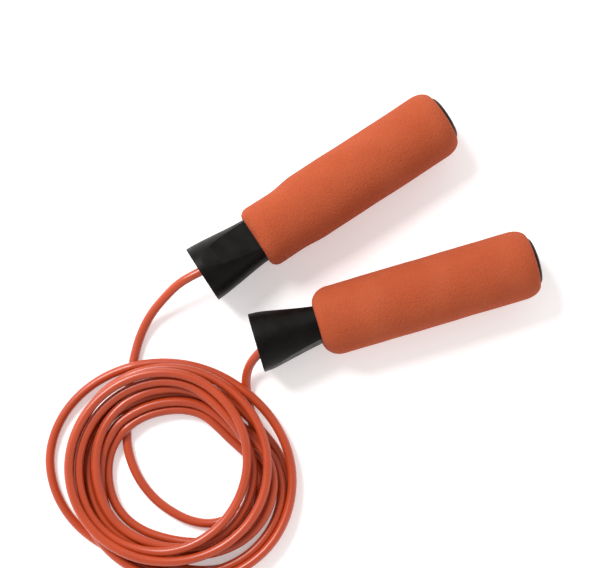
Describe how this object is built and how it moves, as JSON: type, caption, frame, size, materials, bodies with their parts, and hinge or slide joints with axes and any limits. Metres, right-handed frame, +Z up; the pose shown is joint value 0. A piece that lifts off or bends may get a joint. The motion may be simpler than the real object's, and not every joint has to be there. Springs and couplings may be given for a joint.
{
  "type": "jump rope",
  "caption": "Skipping rope with foam-sleeved handles that turn on ball bearings at the ends of a round PVC cord laid in a loose coil.",
  "frame": {"origin": "middle of the two handles' box, on the surface that they lie on", "axes": "+X along the longest side of the handles' box, towards their end caps; +Z up from the surface"},
  "size_m": [0.2679, 0.2604, 0.0383],
  "materials": {
    "orange_foam": "matte closed-cell foam with a fine pebbled skin",
    "orange_cord": "smooth extruded PVC with a soft gloss",
    "black_plastic": "moulded satin black",
    "grey_plastic": "moulded grey acetal",
    "white_plastic": "moulded natural nylon",
    "bearing_steel": "ground and polished bearing steel",
    "zinc_steel": "zinc-plated steel"
  },
  "bodies": {
    "rope": {"cord_coil": "orange_cord", "cord_crossing": "orange_cord", "cord_lead_a": "orange_cord", "cord_stop_a": "zinc_steel", "thrust_washer_a": "zinc_steel", "rotor_bush_a": "grey_plastic", "bearing_inner_race_a": "bearing_steel", "cord_lead_b": "orange_cord", "cord_stop_b": "zinc_steel", "thrust_washer_b": "zinc_steel", "rotor_bush_b": "grey_plastic", "bearing_inner_race_b": "bearing_steel"},
    "handle_a": {"handle_core_a": "black_plastic", "foam_grip_a": "orange_foam", "bearing_outer_race_a": "bearing_steel", "bearing_retainer_a": "grey_plastic"},
    "ball_cage_a": {"bearing_cage_a": "white_plastic", "bearing_ball_a_1": "bearing_steel", "bearing_ball_a_2": "bearing_steel", "bearing_ball_a_3": "bearing_steel", "bearing_ball_a_4": "bearing_steel", "bearing_ball_a_5": "bearing_steel", "bearing_ball_a_6": "bearing_steel", "bearing_ball_a_7": "bearing_steel"},
    "cap_a": {"end_cap_a": "black_plastic"},
    "handle_b": {"handle_core_b": "black_plastic", "foam_grip_b": "orange_foam", "bearing_outer_race_b": "bearing_steel", "bearing_retainer_b": "grey_plastic"},
    "ball_cage_b": {"bearing_cage_b": "white_plastic", "bearing_ball_b_1": "bearing_steel", "bearing_ball_b_2": "bearing_steel", "bearing_ball_b_3": "bearing_steel", "bearing_ball_b_4": "bearing_steel", "bearing_ball_b_5": "bearing_steel", "bearing_ball_b_6": "bearing_steel", "bearing_ball_b_7": "bearing_steel"},
    "cap_b": {"end_cap_b": "black_plastic"}
  },
  "joints": [
    {"name": "handle_a_spin", "type": "hinge", "parent": "rope", "child": "handle_a", "pos_m": [-0.05046, 0.00092, 0.01915], "axis": [0.8377, 0.5461, 0], "continuous": true},
    {"name": "ball_cage_a_spin", "type": "hinge", "parent": "rope", "child": "ball_cage_a", "pos_m": [-0.05046, 0.00092, 0.01915], "axis": [0.8377, 0.5461, 0], "continuous": true},
    {"name": "cap_a_pull", "type": "slide", "parent": "handle_a", "child": "cap_a", "axis": [0.8377, 0.5461, 0], "range_m": [0, 0.018]},
    {"name": "handle_b_spin", "type": "hinge", "parent": "rope", "child": "handle_b", "pos_m": [-0.01596, -0.04746, 0.01915], "axis": [0.9588, 0.284, 0], "continuous": true},
    {"name": "ball_cage_b_spin", "type": "hinge", "parent": "rope", "child": "ball_cage_b", "pos_m": [-0.01596, -0.04746, 0.01915], "axis": [0.9588, 0.284, 0], "continuous": true},
    {"name": "cap_b_pull", "type": "slide", "parent": "handle_b", "child": "cap_b", "axis": [0.9588, 0.284, 0], "range_m": [0, 0.018]}
  ],
  "couplings": [
    {"joint": "ball_cage_a_spin", "follows": "handle_a_spin", "ratio": 0.6323},
    {"joint": "ball_cage_b_spin", "follows": "handle_b_spin", "ratio": 0.6323}
  ]
}
